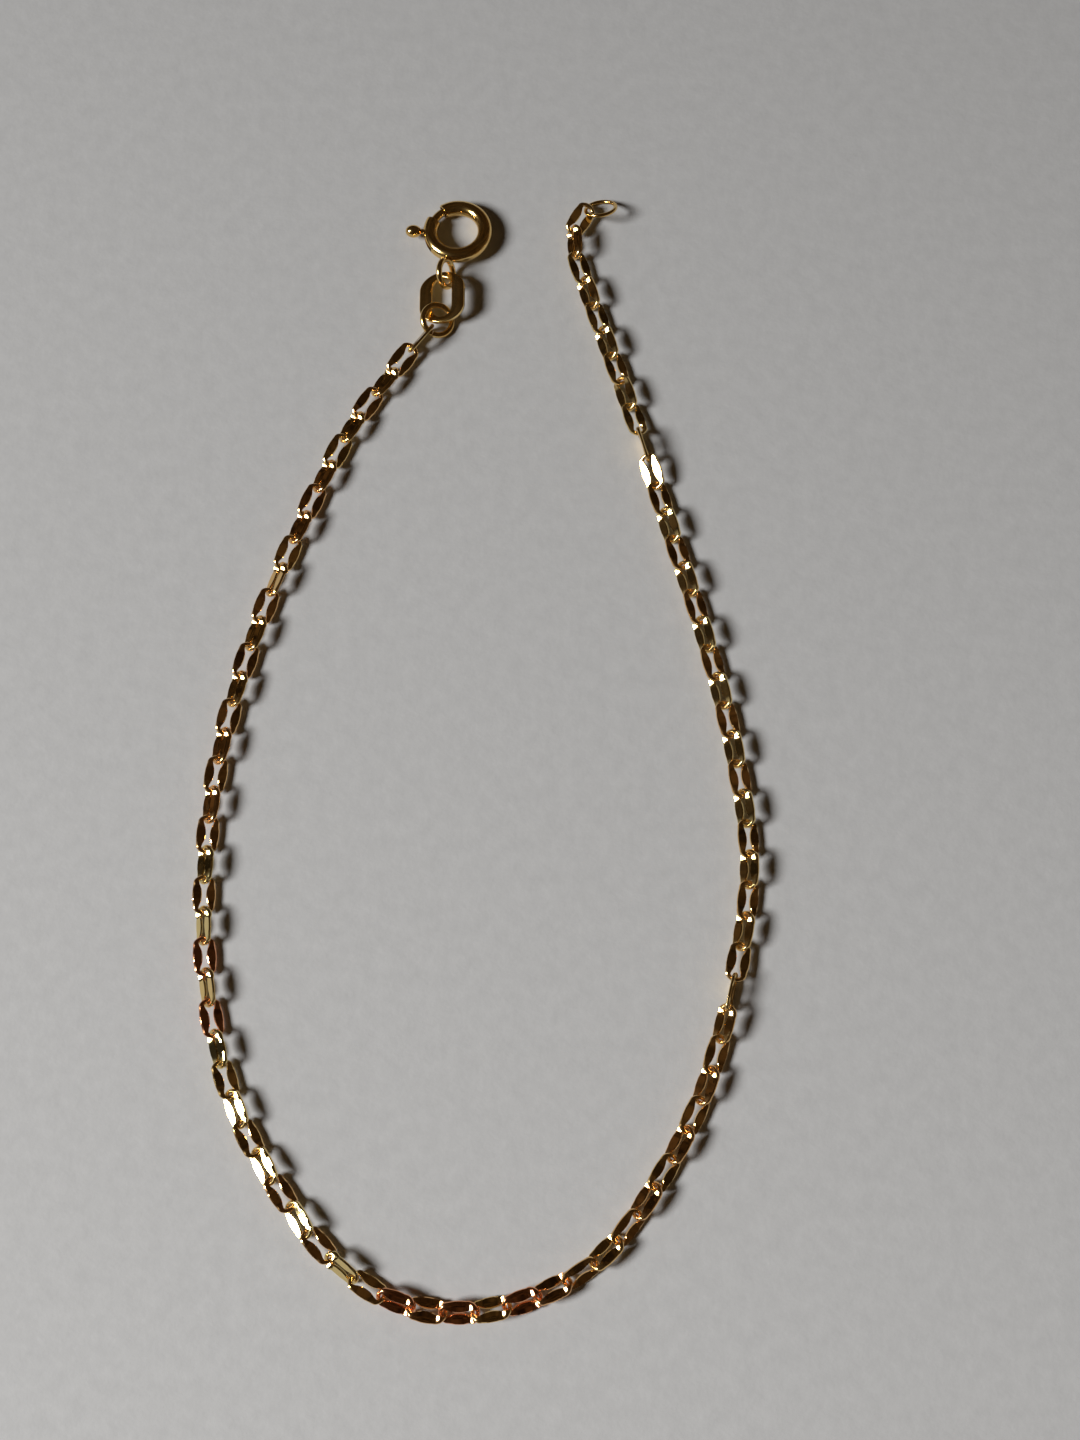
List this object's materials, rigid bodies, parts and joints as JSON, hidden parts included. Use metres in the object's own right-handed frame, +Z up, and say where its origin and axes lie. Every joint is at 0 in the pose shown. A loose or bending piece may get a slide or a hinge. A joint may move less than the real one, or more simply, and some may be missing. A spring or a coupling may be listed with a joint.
{
  "type": "mirror link chain bracelet",
  "caption": "Fine gold chain bracelet of flat mirror links, lying open, with an oval tag, a spring ring clasp and a small end ring.",
  "frame": {"origin": "On the surface that the bracelet lies on, under the middle of its bounding box.", "axes": "+Z up, +Y from the far bend of the loop towards the two open ends, +X to the right seen from above with the ends at the top; the clasp is at the left end and the end ring at the right end."},
  "size_m": [0.0376, 0.0774, 0.0021],
  "materials": {
    "mirror_gold": "mirror polish",
    "polished_gold": "polished"
  },
  "bodies": {
    "bracelet": {"chain_clasp_side": "mirror_gold", "chain_ring_side": "mirror_gold", "jump_ring": "polished_gold", "tag_plate": "polished_gold", "clasp_case": "polished_gold", "end_ring": "polished_gold"},
    "bolt": {"clasp_bolt": "polished_gold"}
  },
  "joints": [
    {"name": "clasp_bolt_slide", "type": "hinge", "parent": "bracelet", "child": "bolt", "pos_m": [-0.00161, 0.03615, 0.00073], "axis": [0.0214, 0.0956, 0.9952], "range_deg": [0, 36], "stiffness_Nm_per_rad": 0.000003, "springref_deg": -11.46}
  ]
}
